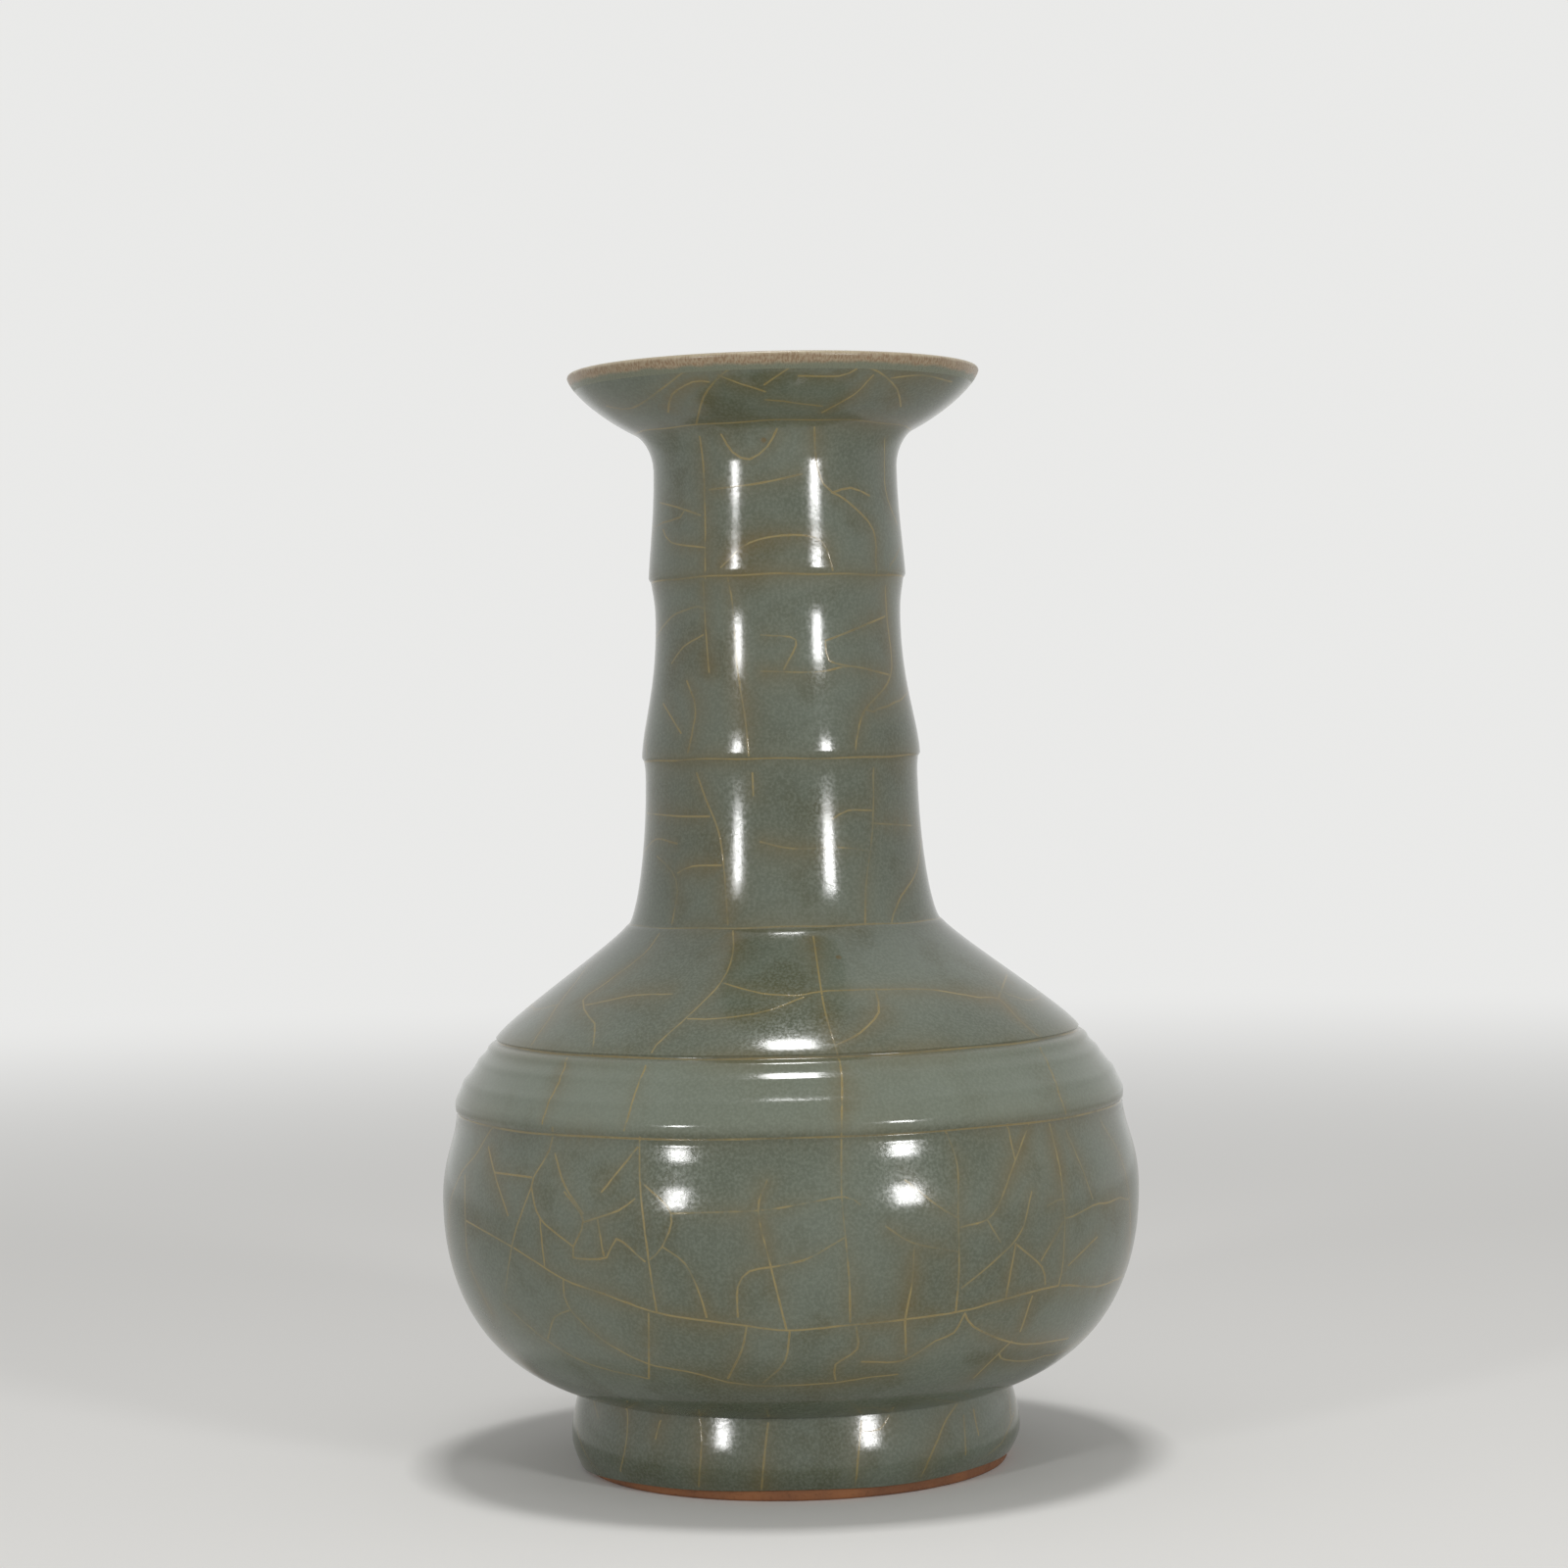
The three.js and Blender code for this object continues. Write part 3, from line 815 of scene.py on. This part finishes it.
@dataclass(frozen=True)
class Clay:
    """Bare fired clay: matt, grainy and mottled between two tones."""

    name: str
    tone: tuple
    second: tuple
    grain: float = 900.0

    def build(self) -> bpy.types.Material:
        """Makes the material."""
        material = bpy.data.materials.new(self.name)
        material.use_nodes = True
        n = Nodes(material.node_tree)
        shader = material.node_tree.nodes["Principled BSDF"]
        place = n.new("ShaderNodeTexCoord").outputs["Object"]
        grain = n.noise(place, self.grain, 4.0)
        colour = n.blend(n.ramp(n.noise(place, 60.0, 4.0), 0.35, 0.65), self.tone, self.second)
        colour = n.blend(n.ramp(grain, 0.55, 0.8, 0.0, 0.5), colour, (0.05, 0.035, 0.025, 1))
        bump = n.new("ShaderNodeBump", Height=grain, Strength=0.5, Distance=0.0002)
        n.feed(shader.inputs["Base Color"], colour)
        n.feed(shader.inputs["Roughness"], n.ramp(grain, 0.3, 0.7, 0.72, 0.92))
        n.feed(shader.inputs["Normal"], bump.outputs["Normal"])
        return material


@dataclass(frozen=True)
class LipGlaze:
    """The thin coat that ran off the lip: cream at its edges, brown between, with fine upright speckle."""

    name: str = "lip_glaze"
    brown: tuple = (0.20, 0.125, 0.065, 1)
    cream: tuple = (0.42, 0.36, 0.25, 1)
    green: tuple = (0.15, 0.16, 0.11, 1)

    def build(self) -> bpy.types.Material:
        """Makes the material."""
        material = bpy.data.materials.new(self.name)
        material.use_nodes = True
        n = Nodes(material.node_tree)
        shader = material.node_tree.nodes["Principled BSDF"]
        place = n.new("ShaderNodeTexCoord").outputs["Object"]
        upright = n.vector("MULTIPLY", place, (1.0, 1.0, 0.22)).outputs["Vector"]
        speckle = n.noise(upright, 2300.0, 3.0)
        z = n.new("ShaderNodeSeparateXYZ", Vector=place).outputs["Z"]
        ragged = n.math("ADD", z, n.math("MULTIPLY", n.math("SUBTRACT", n.noise(place, 220.0), 0.5), 0.0016))
        colour = n.blend(n.ramp(speckle, 0.38, 0.68, 0.1, 0.6), self.brown, self.cream)
        colour = n.blend(n.ramp(ragged, 0.2618, 0.2628, 1.0, 0.0), colour, self.green)
        colour = n.blend(n.ramp(ragged, 0.2638, 0.2648, 0.0, 0.85), colour, self.cream)
        bump = n.new("ShaderNodeBump", Height=speckle, Strength=0.25, Distance=0.0001)
        n.feed(shader.inputs["Base Color"], colour)
        n.feed(shader.inputs["Roughness"], n.ramp(speckle, 0.3, 0.7, 0.2, 0.42))
        n.feed(shader.inputs["Normal"], bump.outputs["Normal"])
        return material


@dataclass
class Vase:
    """The whole vase, piece by piece, from the foot up."""

    profile: Profile = field(default_factory=Profile)
    around: int = 320
    foot_edge: float = 50.8
    foot_bore: float = 45.0
    well: float = 13.5
    chamfer: float = 0.8
    floor: float = 22.5
    floor_flat: float = 30.0
    fillet: float = 2.0

    def clay_ring(self, low: float, high: float) -> list:
        """A closed section of clay wall between two heights."""
        p = self.profile
        return p.part(Layer.OUTER_CLAY, low, high) + p.part(Layer.INNER_CLAY, low, high)[::-1]

    def coat_ring(self, low: float, high: float) -> list:
        """A closed section of the outer coat between two heights."""
        p = self.profile
        return p.part(Layer.OUTER_GLAZE, low, high) + p.part(Layer.OUTER_CLAY, low, high)[::-1]

    def heights(self) -> dict:
        """The heights at which the sections meet."""
        p = self.profile
        joints = {"foot": p.foot_waist, "band": p.band_low, "neck": p.neck_root, "dish": p.dish_base}
        levels = {name: place[1] for name, place in joints.items()}
        tops = {f"{name}_top": level + p.lute for name, level in levels.items()}
        return {**levels, **tops, "lip_band": p.lip[1] - p.lip_band}

    def foot_ring(self) -> list:
        """Section of the foot ring, its resting face flat."""
        outer = self.profile.part(Layer.OUTER_CLAY, self.profile.foot_bare, self.heights()["foot"])
        bore = self.foot_bore
        low = [(self.foot_edge - 0.4, 0.0), (self.foot_edge + 0.1, 0.25), (self.foot_edge + 0.5, 0.8)]
        bare = self.profile.foot_bare
        inner = [(bore, outer[-1][1]), (bore, self.well), (bore, bare), (bore, self.chamfer),
                 (bore + self.chamfer, 0.0)]
        return low + outer + inner

    def foot_luting(self) -> list:
        """Section of the slip on the foot ring and round the floor's plug."""
        outer = self.profile.part(Layer.OUTER_CLAY, self.heights()["foot"], self.heights()["foot_top"])
        plug = self.foot_bore - self.profile.lute
        start = [(plug, self.well), (self.foot_bore, self.well), (self.foot_bore, outer[0][1])]
        return start + outer + [(plug, outer[-1][1])]

    def lower_body(self) -> list:
        """Section of the lower body with its floor."""
        h, plug = self.heights(), self.foot_bore - self.profile.lute
        wall = self.clay_ring(h["foot_top"], h["band"])
        start = [(0.0, self.well), (plug, self.well), (plug, wall[0][1])]
        return start + wall + [(self.floor_flat, self.floor), (0.0, self.floor)]

    def well_glaze(self) -> list:
        """Section of the coat inside the foot ring."""
        coat, bare = self.profile.inner_coat, self.profile.foot_bare
        side, ceiling = self.foot_bore - coat, self.well - coat
        curve = bend((side, ceiling - self.fillet), (0, 0.55), (0.55, 0), (side - self.fillet, ceiling), 0.4)
        start = [(0.0, self.well), (self.foot_bore, self.well), (self.foot_bore, bare), (side, bare + coat)]
        return start + [(side, ceiling - self.fillet)] + curve + [(0.0, ceiling)]

    def inner_glaze(self) -> list:
        """Section of the coat inside, from the floor to the lip's band."""
        h, p = self.heights(), self.profile
        clay = p.part(Layer.INNER_CLAY, h["foot_top"], h["lip_band"])
        coat = p.part(Layer.INNER_GLAZE, h["foot_top"], h["lip_band"])[::-1]
        top = self.floor + p.inner_coat
        base = [(0.0, self.floor), (self.floor_flat, self.floor)]
        return base + clay + coat + [(self.floor_flat, top), (0.0, top)]

    def crown(self, outer: tuple, inner: tuple, top: float) -> list:
        """The rounded top of the lip between its two sides."""
        middle = ((outer[0] + inner[0]) / 2, top)
        rise = bend(outer, (0, 0.6), (0.6, 0), middle, 0.25)
        return rise + bend(middle, (0.6, 0), (0, 0.6), inner, 0.25)[:-1]

    def dish_mouth(self) -> list:
        """Section of the dish's clay."""
        h, p = self.heights(), self.profile
        outer = p.part(Layer.OUTER_CLAY, h["dish_top"], p.lip[1])
        inner = p.part(Layer.INNER_CLAY, h["dish_top"], p.lip[1])[::-1]
        return outer + self.crown(outer[-1], inner[0], p.top - p.lip_coat) + inner

    def lip_glaze(self) -> list:
        """Section of the coat over the lip."""
        h, p = self.heights(), self.profile
        parts = [p.part(layer, h["lip_band"], p.lip[1]) for layer in Layer]
        over = self.crown(parts[0][-1], parts[3][-1], p.top)
        under = self.crown(parts[1][-1], parts[2][-1], p.top - p.lip_coat)[::-1]
        return parts[0] + over + parts[3][::-1] + parts[2] + under + parts[1][::-1]

    def pieces(self) -> list:
        """Every piece with its node, slot and section."""
        h, fine = self.heights(), self.around
        bare = self.profile.foot_bare
        return [
            Turned("bare_foot_ring", "foot_ring", "bare_foot_clay", self.foot_ring(), fine),
            Turned("foot_slip", "foot_luting", "luting_slip", self.foot_luting()),
            Turned("thrown_lower_body", "lower_body", "stoneware", self.lower_body()),
            Turned("band_slip", "band_luting", "luting_slip", self.clay_ring(h["band"], h["band_top"])),
            Turned("thrown_shoulder", "shoulder", "stoneware", self.clay_ring(h["band_top"], h["neck"])),
            Turned("neck_slip", "neck_luting", "luting_slip", self.clay_ring(h["neck"], h["neck_top"])),
            Turned("thrown_neck", "neck", "stoneware", self.clay_ring(h["neck_top"], h["dish"])),
            Turned("mouth_slip", "mouth_luting", "luting_slip", self.clay_ring(h["dish"], h["dish_top"])),
            Turned("thrown_dish", "dish_mouth", "stoneware", self.dish_mouth()),
            Turned("glazed_well", "foot_well_glaze", "celadon_glaze", self.well_glaze(), 160),
            Turned("glazed_inside", "inner_glaze", "celadon_glaze", self.inner_glaze(), 160),
            Turned("glazed_body", "body_glaze", "celadon_glaze", self.coat_ring(bare, h["neck"]), fine, True),
            Turned("glazed_neck", "neck_glaze", "celadon_glaze",
                   self.coat_ring(h["neck"], h["lip_band"]), fine),
            Turned("glazed_lip", "lip_glaze", "lip_glaze", self.lip_glaze(), fine),
        ]

    def build(self) -> None:
        """Builds and dresses every piece."""
        groups = {"gap": crack_gap_group(), "speckle": speckle_group()}
        finishes = {
            "celadon_glaze": Celadon().build(groups),
            "plain_glaze": Celadon(name="plain_celadon", cracked=False).build(groups),
            "lip_glaze": LipGlaze().build(),
            "bare_foot_clay": Clay("bare_foot_clay", (0.30, 0.125, 0.05, 1), (0.20, 0.085, 0.04, 1)).build(),
            "stoneware": Clay("stoneware", (0.16, 0.13, 0.10, 1), (0.12, 0.10, 0.08, 1)).build(),
            "luting_slip": Clay("luting_slip", (0.20, 0.17, 0.14, 1), (0.16, 0.13, 0.11, 1), 1500.0).build(),
        }
        crackle = Crackle(self.profile)
        crackle.read()
        crackle.grow()
        LOG.info("crackle: %d short pieces", len(crackle.segments))
        for turned in self.pieces():
            piece = turned.build()
            cracked = turned.name in ("glazed_body", "glazed_neck")
            plain = turned.slot == "celadon_glaze" and not cracked
            piece.data.materials.append(finishes["plain_glaze" if plain else turned.slot])
            if cracked:
                crackle.dress(piece)


@dataclass
class Studio:
    """Pale floor and background, soft light and the photograph's camera."""

    floor_tone: tuple = (0.84, 0.83, 0.81, 1)
    backdrop: tuple = (0.82, 0.82, 0.81, 1)
    fill: float = 0.44
    fade_start: float = 0.25
    fade_end: float = 1.6

    def floor(self) -> None:
        """A plain pale floor that fades into the background."""
        bpy.ops.mesh.primitive_plane_add(size=12.0, location=(0, 0, 0))
        plane = bpy.context.object
        plane.name = "floor"
        material = bpy.data.materials.new("floor")
        material.use_nodes = True
        shader = material.node_tree.nodes["Principled BSDF"]
        shader.inputs["Base Color"].default_value = self.floor_tone
        shader.inputs["Roughness"].default_value = 0.9
        shader.inputs["Specular IOR Level"].default_value = 0.0
        self.fade(material, shader)
        plane.data.materials.append(material)

    def fade(self, material: bpy.types.Material, shader: bpy.types.Node) -> None:
        """Lets the floor go over into the pale background away from the vase.

        Args:
            material: The floor's material.
            shader: Its Principled BSDF.
        """
        n = Nodes(material.node_tree)
        place = n.new("ShaderNodeTexCoord").outputs["Object"]
        far = n.ramp(n.vector("LENGTH", place).outputs["Value"], self.fade_start, self.fade_end)
        rays = n.new("ShaderNodeLightPath")
        seen = n.math("MAXIMUM", rays.outputs["Is Camera Ray"], rays.outputs["Is Glossy Ray"])
        glow = n.blend(n.math("MULTIPLY", far, seen), (0, 0, 0, 1), self.backdrop)
        tone = n.blend(n.math("MULTIPLY", far, seen), self.floor_tone, (0, 0, 0, 1))
        n.feed(shader.inputs["Base Color"], tone)
        n.feed(shader.inputs["Emission Color"], glow)
        shader.inputs["Emission Strength"].default_value = 1.0

    def world(self) -> None:
        """Soft light from all round, with a pale background for the camera and the gloss."""
        world = bpy.data.worlds.new("studio")
        world.use_nodes = True
        bpy.context.scene.world = world
        n = Nodes(world.node_tree)
        rays = n.new("ShaderNodeLightPath")
        seen = n.math("MAXIMUM", rays.outputs["Is Camera Ray"], rays.outputs["Is Transmission Ray"])
        seen = n.math("MAXIMUM", seen, rays.outputs["Is Glossy Ray"])
        light = world.node_tree.nodes["Background"]
        n.feed(light.inputs["Color"], self.backdrop)
        n.feed(light.inputs["Strength"], n.ramp(seen, 0.0, 1.0, self.fill, 1.0))

    def lamp(self, name: str, place: tuple, size: tuple, power: float) -> None:
        """A soft rectangular lamp aimed at the vase."""
        data = bpy.data.lights.new(name, "AREA")
        data.shape = "RECTANGLE"
        data.size, data.size_y = size
        data.energy = power
        lamp = bpy.data.objects.new(name, data)
        lamp.location = place
        aim = Vector((0, 0, 0.13)) - Vector(place)
        lamp.rotation_euler = aim.to_track_quat("-Z", "Y").to_euler()
        bpy.context.scene.collection.objects.link(lamp)

    def lights(self) -> None:
        """Two tall strips beside the camera and a broad one above."""
        turn, reach = math.radians(37), 1.25
        x, y = reach * math.sin(turn), -reach * math.cos(turn)
        self.lamp("left_strip", (-x, y, 0.37), (0.13, 0.24), 3.4)
        self.lamp("right_strip", (x, y, 0.37), (0.17, 0.24), 4.8)
        self.lamp("top_soft", (0.02, -0.12, 1.3), (0.22, 0.22), 5.5)

    def camera(self) -> None:
        """The camera at the photograph's place, pitch and roll."""
        data = bpy.data.cameras.new("camera")
        data.sensor_width = SENSOR_MM
        data.lens = FOCAL_PX / FRAME_PX * SENSOR_MM
        camera = bpy.data.objects.new("camera", data)
        aside = (CENTRE_PX - AXIS_PX) / FOCAL_PX * CAMERA_DISTANCE
        camera.location = (aside, -CAMERA_DISTANCE, CAMERA_HEIGHT)
        pitch = math.atan((CENTRE_PX - HORIZON_PX) / FOCAL_PX)
        look = Vector((0, math.cos(pitch), -math.sin(pitch))).to_track_quat("-Z", "Y")
        turn = look.to_matrix().to_4x4()
        roll = math.radians(-ROLL_DEG)
        camera.rotation_euler = (turn @ turn.Rotation(roll, 4, "Z")).to_euler()
        bpy.context.scene.collection.objects.link(camera)
        bpy.context.scene.camera = camera

    def build(self) -> None:
        """Sets the whole studio."""
        self.floor()
        self.world()
        self.lights()
        self.camera()
        bpy.context.scene.view_settings.view_transform = "Standard"


def main() -> None:
    """Builds the studio and the vase."""
    logging.basicConfig(level=logging.INFO)
    Studio().build()
    Vase().build()


if __name__ == "__main__":
    main()
